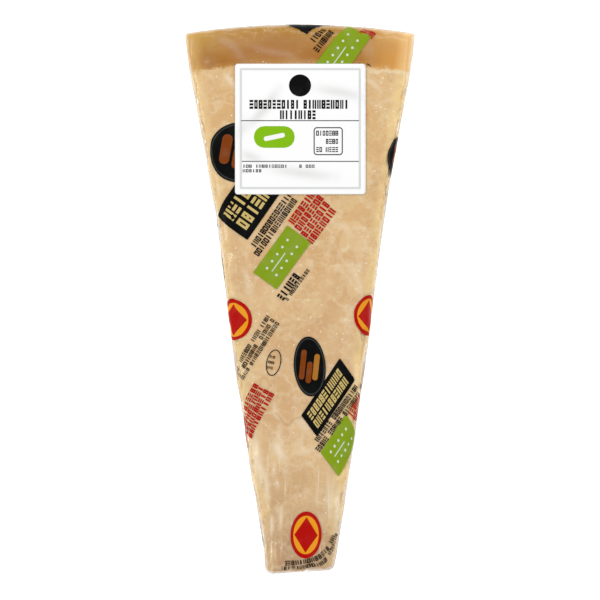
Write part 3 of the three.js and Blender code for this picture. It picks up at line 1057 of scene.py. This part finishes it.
def joined(shapes):
    """All of these geometries as one."""
    join = shapes[0].node("GeometryNodeJoinGeometry", None, {0: shapes[0]})
    for shape in shapes[1:]:
        join.tree.links.new(shape.socket, join.socket.node.inputs[0])
    return join


def plate(x, y, wide, tall):
    """A flat plate in a block that is 1 wide and 1 high."""
    spans = {"Size X": wide, "Size Y": tall, "Vertices X": 2, "Vertices Y": 3}
    grid = line.node("GeometryNodeMeshGrid", None, spans)
    return grid.node("GeometryNodeTransform", None, {"Geometry": grid, "Translation": line.vector(x, y)})


stroke_wide = size["Stroke"]
stroke_tall = stroke_wide * STROKE_FLATNESS
out, up = (1 - stroke_wide) * 0.5, (1 - stroke_tall) * 0.5
sides = [plate(out, 0.0, stroke_wide, 1.0), plate(out * -1, 0.0, stroke_wide, 1.0)]
caps = [plate(0.0, up, 1.0, stroke_tall), plate(0.0, up * -1, 1.0, stroke_tall)]
rung = plate(0.0, 0.0, 1.0, stroke_tall)
kinds = [joined(sides + caps), joined(sides), joined([*sides, *caps, rung]), joined([*caps, rung]),
         plate(0.0, 0.0, stroke_wide * 1.2, 1.0)]
kinds = joined([kind.node("GeometryNodeGeometryToInstance", None, {0: kind}) for kind in kinds])
limits = {4: 0, 5: 4, 8: size["Seed"] + 80}
which = line.node("FunctionNodeRandomValue", {"data_type": "INT"}, limits, output=2)
placed = {"Points": line, "Selection": kept, "Instance": kinds, "Pick Instance": True,
          "Instance Index": which, "Scale": scale}
end_growth(line.node("GeometryNodeInstanceOnPoints", None, placed), crystal_white)
drawing_board = new_object("drawing_board", np.zeros((1, 3)), [])


def greeked_row(length, height, seed, pitch=None, gaps=0.07, weight=0.33):
    """A row of blocks from the origin along X, as flat points in millimetres and faces."""
    pitch = pitch or max(height * BLOCK_WIDTH, FINEST_PITCH)
    sizes = {"Length": length, "Height": height, "Pitch": pitch, "Seed": seed, "Word Gap": gaps,
             "Stroke": weight}
    mesh = grown_mesh(drawing_board, row_tree, sizes)
    points = np.array([(v.co.x, v.co.y) for v in mesh.vertices]).reshape(-1, 2) / MM
    faces = [tuple(face.vertices) for face in mesh.polygons]
    bpy.data.meshes.remove(mesh)
    return points, faces


print("a row of 12 mm has", len(greeked_row(12.0, 1.5, 1)[1]), "faces")

# %% Fold flat print round the pack
INK_HEIGHTS = (0.03, 0.05, 0.07)  # how far each layer of ink stands out of the film, the lowest layer first
QUARTER = math.pi / 2
WALL_HEIGHT = THICKNESS - TOP_EDGE - BACK_EDGE
WIDEST = 40.0  # the rind's arc is followed no further than this from the middle


def run_over(travel):
    """How far out, and at what height, a strip lies that has run this far past the start of the edge."""
    round_top, round_back = TOP_EDGE * QUARTER, BACK_EDGE * QUARTER
    over = np.clip(travel, 0, round_top) / TOP_EDGE
    down = np.clip(travel - round_top, 0, WALL_HEIGHT)
    under = np.clip(travel - round_top - WALL_HEIGHT, 0, round_back) / BACK_EDGE
    inwards = np.clip(travel - round_top - WALL_HEIGHT - round_back, 0, None)
    out = TOP_EDGE * np.sin(over) - BACK_EDGE * (1 - np.cos(under)) - inwards
    height = THICKNESS - TOP_EDGE * (1 - np.cos(over)) - down - BACK_EDGE * np.sin(under)
    return out, height


def folded(flat):
    """Where flat print comes to lie when it is folded over the sides, the rind and the tip."""
    x, y = flat.T
    side = side_x(np.clip(y, TIP_Y, CROWN_Y)) - TOP_EDGE
    rind = rind_y(np.clip(x, -WIDEST, WIDEST)) - TOP_EDGE
    tip = tip_line_y(x) + TOP_EDGE
    out_side, height_side = run_over(abs(x) - side)
    out_rind, height_rind = run_over(y - rind)
    out_tip, height_tip = run_over(tip - y)
    folded_x = np.where(abs(x) > side, np.sign(x) * (side + out_side), x)
    folded_y = np.where(y > rind, rind + out_rind, np.where(y < tip, tip - out_tip, y))
    return np.column_stack([folded_x, folded_y, np.minimum(np.minimum(height_side, height_rind), height_tip)])


def wall_place(side, y, height):
    """The flat place that comes to lie on a side wall, on the left for side -1 and on the right for 1."""
    return np.array([side * (side_x(y) - TOP_EDGE + TOP_EDGE * QUARTER + THICKNESS - TOP_EDGE - height), y])


def pressed_on(net, points, height):
    """Points moved to the nearest place of a skin, and this far out of it."""
    found = [net.find_nearest(Vector(point) * MM) for point in points]
    return np.array([tuple((spot + normal * height * MM) / MM) for spot, normal, _, _ in found])


end_height = run_over(np.array([20.0]))[1][0]
print("a strip that runs 20 mm past the edge ends at height", round(float(end_height), 1))

# %% Collect the stamps of each ink
stamps = {}


def turned(points, degrees):
    c, s = math.cos(math.radians(degrees)), math.sin(math.radians(degrees))
    return points @ np.array([(c, s), (-s, c)])


def stamp(ink, shape, place, turn=0.0, offset=(0.0, 0.0), layer=0, under=False, lean=0.0):
    """Adds a flat shape to an ink. The offset is measured along the turned axes, which may lean."""
    points, faces = shape
    upright = points + np.array(offset)
    flat = turned(upright + upright[:, 1:2] * (lean, 0.0), turn) + place
    stamps.setdefault(ink, []).append((flat, faces, layer, under))


BOLD = {"gaps": 0.0, "weight": 0.38}


def words(ink, place, turn, length, height, rows=1, seed=1, spacing=1.35, offset=(0.0, 0.0), under=False,
          slip=0.0, **look):
    """Rows of greeked text, one under the other, along the turned X. Each starts a slip further back."""
    for row in range(rows):
        first = (offset[0] - row * slip, offset[1] - row * height * spacing)
        stamp(ink, greeked_row(length, height, seed + row, **look), place, turn, first, 0, under)


ARC_LOOK = {"pitch": 1.12, "gaps": 0.06, "weight": 0.3}
LOOK_AHEAD = 1.5  # how far on either side of a block the line's direction is taken


def words_along(ink, line, height, seed):
    """One row of greeked text whose middle follows a line of pixels."""
    stops = np.array([at_pixel(*spot) for spot in line])
    runs = np.linalg.norm(np.diff(stops, axis=0), axis=1)
    passed = np.concatenate([[0.0], np.cumsum(runs)])
    points, faces = greeked_row(passed[-1], height, seed, **ARC_LOOK)

    def on_line(way):
        return np.column_stack([np.interp(way, passed, stops[:, k]) for k in (0, 1)])

    here = on_line(points[:, 0])
    along = on_line(points[:, 0] + LOOK_AHEAD) - on_line(points[:, 0] - LOOK_AHEAD)
    along /= np.linalg.norm(along, axis=1, keepdims=True)
    up = np.column_stack([-along[:, 1], along[:, 0]])
    stamp(ink, (here + up * points[:, 1:2], faces), np.zeros(2))


print("layers of ink stand", INK_HEIGHTS, "mm out of the film")

# %% Draw the repeated motifs
SLANT = 54.0  # degrees between the rows of the print and the width of the pack
BARS = [  # the bars of an emblem: ink, length, how far across and how far up, as shares of its size
    ("copper", 0.5, -0.22, 0.02), ("copper", 0.36, 0.0, -0.1), ("tan", 0.44, 0.2, 0.0),
]
BAR_TURN = -10


def emblem(place, width, height, turn=0.0, under=False):
    """A black oval with a fine rim and three slanting bars."""
    stamp("black", filled(oval(width, height)), place, turn, under=under)
    wide, high = 0.95 * width, 0.95 * height
    rim = ring_between(oval(wide, high), oval(wide - 0.7, high - 0.7))
    stamp("smoke", rim, place, turn, layer=1, under=under)
    for ink, length, across, up in BARS:
        bar = filled(rounded_box(width * 0.17, length * height, width * 0.08))
        stamp(ink, bar, place, turn + BAR_TURN, (across * width, up * height), 1, under)


def band(place, length, width, seed, turn=SLANT, under=False, lean=0.0, start=0.0):
    """A black band with two rows of gold blocks, whose first blocks may be left out."""
    stamp("black", filled(rounded_box(length, width, 0.2)), place, turn, under=under, lean=lean)
    height = width * 0.31
    for row in (0, 1):
        blocks = greeked_row(length * (0.86 - start), height, seed + row, height * 0.66, **BOLD)
        offset = (length * (start - 0.42) + height * 0.3, (0.5 - row) * height * 1.24)
        stamp("gold", blocks, place, turn, offset, 1, under, lean)


def tag(place, length, width, turn=SLANT, under=False, lean=0.0):
    """A green tag with two straight rows of small white dots and a thin bar between them."""
    stamp("green", filled(rounded_box(length, width, 0.25)), place, turn, under=under, lean=lean)
    dot = filled(oval(0.095 * width, 0.095 * width, 8), 0.5)
    for across in (-0.2, 0.2):
        for along in (-0.3, -0.15, 0.0, 0.15, 0.3):
            stamp("white", dot, place, turn, (along * length, across * width), 1, under, lean)
    thin = filled(rounded_box(0.4 * length, 0.035 * width, 0.1, 2), 0.5)
    stamp("white", thin, place, turn, (-0.1 * length, 0.0), 1, under, lean)


def seal(place, width, height, turn=0.0, under=False):
    """A red roundel with an amber disc and a red lozenge."""
    stamp("red", filled(oval(width, height)), place, turn, under=under)
    stamp("amber", filled(oval(width * 0.82, height * 0.82)), place, turn, layer=1, under=under)
    stamp("red", filled(lozenge(width * 0.76, height * 0.76)), place, turn, layer=2, under=under)


def mark(place, width, height, turn, under=False):
    """A thin black outline with three short rows inside."""
    ring = ring_between(oval(width, height), oval(width - 0.5, height - 0.5))
    stamp("black", ring, place, turn, under=under)
    words("black", place, turn, width * 0.62, 0.7, 3, 61, 2.2, (-width * 0.28, 1.5), under=under)


# %% Lay out the print that the picture shows
TAG = (58 * PIXEL, 29 * PIXEL)
SMALL_PRINT = 6.3 * PIXEL
BOLD_PRINT = 8.0 * PIXEL
LEAN = 0.36  # how far the print near the tip was pulled askew when the film shrank
UPPER_ARC = [(285, 563.4), (296, 563.0), (308, 561.6), (319, 557.4), (328, 550), (333.6, 541.6), (336.4, 533)]
LOWER_ARC = [
    (281.4, 569.4), (292, 569.4), (305, 569), (319, 565.6), (329.6, 558), (336.2, 548), (339.8, 537),
    (341, 528),
]

emblem(at_pixel(238.5, 152.5), 60 * PIXEL, 60 * PIXEL)
band(at_pixel(254.3, 193.6), 84 * PIXEL, 42 * PIXEL, 11, SLANT + 1)
words("black", at_pixel(253.8, 245), SLANT + 1, 20.0, SMALL_PRINT, seed=21)
words("black", at_pixel(257, 253.5), SLANT + 1, 20.0, SMALL_PRINT, seed=22)
words("red", at_pixel(292.3, 221.2), SLANT, 13.0, 7.6 * PIXEL, 4, 31, 1.15, slip=0.45, pitch=1.45, **BOLD)
tag(at_pixel(282, 257.5), *TAG)
words("black", at_pixel(281, 297), SLANT, 9.6, BOLD_PRINT, 1, 41, **BOLD)
words("black", at_pixel(287, 299), SLANT, 10.9, 1.0, 1, 43)

band(at_pixel(311, -1.3), 60 * PIXEL, 38 * PIXEL, 13, SLANT - 3, start=0.2)
words("black", at_pixel(313.0, 40.0), SLANT - 2, 6.0, SMALL_PRINT, seed=23)
words("black", at_pixel(316.6, 49.5), SLANT - 2, 8.4, SMALL_PRINT, seed=24)
tag(at_pixel(342.6, 51.3), *TAG)
words("red", at_pixel(362.8, 30.0), SLANT, 3.2, 7.6 * PIXEL, 2, 33, 1.15, pitch=1.45, **BOLD)
words("black", at_pixel(360.5, 66), SLANT, 2.0, 1.6, 1, 45)
words("black", at_pixel(367, 67.5), SLANT, 2.4, 1.2, 1, 46)

emblem(at_pixel(408, 157), 41 * PIXEL, 41 * PIXEL)
seal(at_pixel(231.5, 320), 41 * PIXEL, 41 * PIXEL)
seal(at_pixel(374, 316), 40 * PIXEL, 40 * PIXEL)

words("black", at_pixel(232.3, 371.5), SLANT + 3, 19.6, 1.2, 3, 51, 1.32, pitch=0.95, gaps=0.12, weight=0.3)
mark(at_pixel(273.6, 362.7), 14.7 * PIXEL, 26.8 * PIXEL, -12)
words("red", at_pixel(232.3, 427.6), SLANT + 7, 14.8, 1.5, 4, 35, 1.12, pitch=1.48, **BOLD)

emblem(at_pixel(309.7, 366.5), 32 * PIXEL, 60 * PIXEL, 4)
band(at_pixel(328.4, 397.5), 69 * PIXEL, 25 * PIXEL, 15, SLANT + 2, lean=LEAN)
words("black", at_pixel(317.2, 439.5), SLANT - 1, 20.2, 5.4 * PIXEL, seed=25)
words("black", at_pixel(318.0, 449.4), SLANT - 1, 20.6, 5.4 * PIXEL, seed=26)
tag(at_pixel(342, 445.3), 45.5 * PIXEL, 28.5 * PIXEL, SLANT + 2.5, lean=LEAN)
words("red", at_pixel(351, 414), SLANT, 8.0, 1.8, 2, 37, 1.1, **BOLD)

seal(at_pixel(306, 535), 31 * PIXEL, 47 * PIXEL, -2)
for line, seed in ((UPPER_ARC, 71), (LOWER_ARC, 73)):
    words_along("black", line, 1.4, seed)

# %% Let the pattern run on over the walls and the back
for side, shift in ((-1, 0.0), (1, 17.0)):
    seal(wall_place(side, -38 + shift, 11), 10.6, 10.6, 20)
    emblem(wall_place(side, 8 + shift, 9), 9.0, 11.0, 20)
    turn = SLANT * side
    words("red", wall_place(side, -12 + shift, 12), turn, 13.0, BOLD_PRINT, 3, 81, 1.3, pitch=1.7, weight=0.3)
    words("black", wall_place(side, -60 + shift, 11), turn, 15.0, SMALL_PRINT, 3, 85, 1.75, pitch=1.4)
    words("black", wall_place(side, 28 + shift * 0.4, 11), turn, 15.0, SMALL_PRINT, 2, 88, 1.75, pitch=1.4)
for y, x, seed in ((44.0, -11.0, 91), (-4.0, -7.0, 94)):
    here = np.array([x, y])
    band(here, 20.0, 7.4, seed, -SLANT, under=True)
    emblem(here + (15.0, 12.0), 9.0, 13.0, 10, under=True)
    words("black", here + (-9.0, -3.0), -SLANT, 16.0, SMALL_PRINT, 2, seed + 3, under=True)
    tag(here + (16.5, -9.0), 13.0, 7.0, -SLANT, under=True)
    words("red", here + (2.5, -14.0), -SLANT, 12.0, BOLD_PRINT, 3, seed + 5, 1.16, under=True)
seal(np.array([1.0, -46.0]), 10.6, 10.6, under=True)
print(sum(len(made) for made in stamps.values()), "stamps in", len(stamps), "inks")

# %% Mix the inks and press the stamps on
ABOVE = 0.4  # the nets start this far above the face, so that the nearest skin is its upper side
INKS = {  # colour, roughness and how cloudy
    "black": ("#050606", 0.3, 0.003), "smoke": ("#343636", 0.3, 0.01), "gold": ("#ccb36e", 0.36, 0.03),
    "amber": ("#eb9d1c", 0.36, 0.01), "copper": ("#7f3b0a", 0.36, 0.02), "red": ("#b40b05", 0.36, 0.008),
    "green": ("#849e18", 0.36, 0.025), "white": ("#d2dccb", 0.4, 0.012), "tan": ("#ac7026", 0.36, 0.02),
}


def ink_finish(name, tone, roughness, cloud):
    """Printing ink, a little cloudy, as film is when it is stretched after printing."""
    ink, start = new_finish(name)
    place = material_place(start)
    cloudy = place.noise(3.0, 3.0, 1.0).rises(0.4, 0.7)
    linear = paint(tone)
    paler = tuple(value + (1 - value) * cloud for value in linear[:3]) + (1.0,)
    worn = place.noise(0.5, 2.0, 2.0).rises(0.2, 0.8) * 0.15 + roughness
    show(principled(start, Base_Color=cloudy.blend(linear, paler), Roughness=worn, Specular_IOR_Level=0.08))
    return ink


def print_piece(name, made, skin, finish):
    """One mesh of all the stamps of an ink."""
    points, faces = [], []
    for flat, shape, layer, under in made:
        if under:
            guess, shape = np.column_stack([flat, np.zeros(len(flat))]), [face[::-1] for face in shape]
        else:
            guess = folded(flat) + (0, 0, ABOVE)
        faces += [tuple(v + len(points) for v in face) for face in shape]
        points += pressed_on(skin, guess, INK_HEIGHTS[layer]).tolist()
    piece = new_object(name, points, faces)
    piece.data.materials.append(finish)
    return piece


def printed(where, inks, skin):
    """A piece for each ink, pressed on a skin."""
    return [print_piece(where + "_print_" + ink, stamps[ink], skin, ink_finish(where + "_ink_" + ink, *look))
            for ink, look in inks.items()]


print_pieces = printed("film", INKS, film_net)
for piece in print_pieces:
    print(piece.name, triangles(piece), "triangles")

# %% [markdown]
# ## The label
#
# A square of coated paper sits on the film. Paper does not stretch, so where the film under it shrank it
# has soft creases, a tenth of a millimetre high. A crease is a low ridge along a line, so one formula for
# the distance to a line gives the paper its height, and the same height shades it in the material.

# %% Make the paper
CREASES = [  # lines in pixels of the picture, then half width and height in millimetres
    ([(279, 88), (265, 108), (247, 128)], 1.3, 0.12), ([(314, 88), (340, 92), (366, 98)], 1.4, 0.1),
    ([(240, 152), (262, 161)], 1.3, 0.1), ([(268, 168), (302, 173), (336, 177)], 1.5, 0.1),
    ([(246, 118), (236, 140)], 1.2, 0.07),
]
HIGHEST_CREASE = 0.12
PAPER_GAP, PAPER = 0.07, 0.13


def crease_height(points):
    """How high the paper is lifted by its creases."""
    return sum(top * stroke(points, line, width) for line, width, top in CREASES)


def raised_sheet(name, shape, low, high):
    """A thin closed sheet over a flat shape, between two heights given for each of its points."""
    points, faces = shape
    count = len(points)
    edges = {(a, b) for face in faces for a, b in zip(face, face[1:] + face[:1])}
    rim = [(a, b) for a, b in edges if (b, a) not in edges]
    walls = [(a, a + count, b + count, b) for a, b in rim]
    backs = [tuple(v + count for v in face[::-1]) for face in faces]
    both = np.vstack([np.column_stack([points, high]), np.column_stack([points, low])])
    return new_object(name, both, faces + backs + walls)


paper_white, start = new_finish("paper_white")
fibre = material_place(start).noise(0.35, 3.0, 1.0)
bump = fibre.node("ShaderNodeBump", None, {"Strength": 0.06, "Distance": 0.1 * MM, "Height": fibre})
# Painted shade: the paper greyer along its creases.
white = (start.attribute("crease") * 0.55).blend(paint("#ffffff"), paint("#cfcecc"))
show(principled(start, Base_Color=white, Roughness=fibre * 0.1 + 0.42, Normal=bump))

paper_shape = filled(rounded_box(LABEL_SIZE, LABEL_SIZE, 0.8) + LABEL_MIDDLE, 0.7)
creased = crease_height(paper_shape[0])
paper_low = THICKNESS + PAPER_GAP + creased
paper = raised_sheet("label_paper", paper_shape, paper_low, paper_low + PAPER)
store(paper, "crease", crease_height(spots_of(paper)[:, :2]) / HIGHEST_CREASE)
paper.data.materials.append(paper_white)
paper_net = net_of(paper)
print("the paper lifts", round(float(creased.max()), 2), "mm at its highest crease")

# %% [markdown]
# ## Inks on the label
#
# The label is set out as shop labels are: a pale border, a black disc, two rows of title, a green pill, an
# outlined box, thin rules and small print. Greeked rows stand for all words. The same stamps serve as on
# the film, and are pressed on the paper instead.

# %% Print the label
LABEL_ROUGHNESS, LABEL_CLOUD = 0.5, 0.006
LABEL_INKS = {
    "black": "#060606", "grey": "#3c3c3c", "pale": "#dcdede", "green": "#85be10", "white": "#f8f8f6",
}
TITLE_ROWS = [(249.8, 300.4, 104.4, 101), (303.6, 351.0, 104.4, 102), (280.4, 320.0, 114.8, 103)]
stamps = {}


def fine_loop(loop, count=12):
    """A loop with this many points along each of its runs."""
    run = np.roll(loop, -1, axis=0) - loop
    return np.stack([loop + run * k / count for k in range(count)], axis=1).reshape(-1, 2)


def frame_of(ink, width, height, radius, line, place):
    """The outline of a rounded box, as a strip this wide."""
    outer = rounded_box(width, height, radius)
    inner = rounded_box(width - 2 * line, height - 2 * line, max(radius - line, 0.05))
    stamp(ink, ring_between(fine_loop(outer), fine_loop(inner)), place)


def bar(ink, left, right, row, height):
    """A straight bar between two columns of the picture."""
    width = (right - left) * PIXEL
    stamp(ink, filled(rounded_box(width, height, height * 0.1, 2)), at_pixel((left + right) / 2, row))


frame_of("pale", 121 * PIXEL, 121 * PIXEL, 0.3, 0.6, at_pixel(300.3, 128.6))
stamp("black", filled(oval(6.2, 6.2)), at_pixel(300, 85.5))
for left, right, row, seed in TITLE_ROWS:
    title = greeked_row((right - left) * PIXEL, 2.5, seed, 1.28, 0.0, 0.4)
    stamp("black", title, at_pixel(left + 1.6, row))
bar("grey", 241, 359, 120.7, 0.24)
bar("grey", 241, 359, 161.4, 0.24)
stamp("green", filled(rounded_box(40.8 * PIXEL, 21.7 * PIXEL, 10.5 * PIXEL)), at_pixel(274.3, 137.0))
stamp("white", filled(rounded_box(6.0, 1.3, 0.6)), at_pixel(274.3, 137.0), 12, layer=1)
frame_of("grey", 29.2 * PIXEL, 28 * PIXEL, 0.9, 0.3, at_pixel(328.2, 141.2))
for row, seed in enumerate((111, 113, 115)):
    words("black", at_pixel(317.5, 133.2 + row * 8.2), 0, 6.4, 1.4, seed=seed)
words("grey", at_pixel(244, 166.2), 0, 13.0, 0.9, seed=121)
words("grey", at_pixel(300.5, 166.2), 0, 4.8, 0.9, seed=123)
words("grey", at_pixel(244, 170.8), 0, 6.4, 0.9, seed=125)

label_looks = {ink: (tone, LABEL_ROUGHNESS, LABEL_CLOUD) for ink, tone in LABEL_INKS.items()}
label_pieces = printed("label", label_looks, paper_net)
print(len(label_pieces), "inks on the label")

# %% [markdown]
# ## The seams under the pack
#
# A tube of film is closed by a lengthwise seam and a seam at each end. All three are folded flat under
# the pack, where nobody looks but everybody's fingers feel them. The welding jaws leave fine ribs, and
# a rib that repeats along a strip is again a job for Geometry Nodes.

# %% Lay the seams
SEAM_WIDTH = 9.0
RIB_PITCH = 1.4
RIB_HEIGHT = 0.06
RIB_SHARE = 0.45  # of the pitch
RIB_MARGIN = 1.6  # how much narrower than the seam the ribs are
SEAM_TOP_GAP = 0.02
rib_tree, size = new_growth("seam_ribs", {
    "Length": 100.0, "Width": 8.0, "Pitch": RIB_PITCH, "Height": RIB_HEIGHT,
})
pitch = size["Pitch"] * MM
line = line_of_points(size, pitch.vector(y=pitch))
spans = line.vector(size["Width"] * MM, pitch * RIB_SHARE, size["Height"] * MM)
block = line.node("GeometryNodeMeshCube", None, {"Size": spans})
end_growth(line.node("GeometryNodeInstanceOnPoints", None, {"Points": line, "Instance": block}), sealed_film)


def seam(name, width, length, place, turn):
    """A flat strip with ribs under it, on the table and under the pack."""
    shape = filled(rounded_box(width, length, 0.6), 1.5)
    low, high = [np.full(len(shape[0]), z) for z in (RIB_HEIGHT, SEAM_ROOM - SEAM_TOP_GAP)]
    strip = raised_sheet(name, shape, low, high)
    sizes = {"Length": length - 2 * RIB_PITCH, "Width": width - RIB_MARGIN}
    ribs = grow(strip, rib_tree, name + "_ribs", sizes)
    for vertex in ribs.data.vertices:
        vertex.co += Vector((0, RIB_PITCH * 1.2 - length / 2, RIB_HEIGHT / 2)) * MM
    strip.data.materials.append(sealed_film)
    for made in (strip, ribs):
        flat = np.array([tuple(v.co) for v in made.data.vertices])
        flat[:, :2] = turned(flat[:, :2], turn) + np.array(place) * MM
        made.data.vertices.foreach_set("co", flat.ravel())
    return [strip, ribs]


seams = seam("long_seam", SEAM_WIDTH, LENGTH - 22, (0, 0), 0)
seams += seam("rind_seam", 6.0, 2 * side_x(66.0) - 10, (0, 68.5), 90)
seams += seam("tip_seam", 5.0, 2 * side_x(-70.0) - 7, (0, -70.5), 90)
print(len(seams) // 2, "seams")

# %% Hand the pieces to the model
SLOTS = {
    "wrapped_cheese": [cheese, crystals, crumbs], "clear_film": [film, *seams], "film_print": print_pieces,
    "label_paper": [paper], "label_ink": label_pieces,
}
for slot, pieces in SLOTS.items():
    for piece in pieces:
        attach(piece, "root")
for piece in (cheese, film):
    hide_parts("wrapped_wedge")
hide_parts("paper_label")
for helper in (wedge, drawing_board):
    bpy.data.objects.remove(helper)
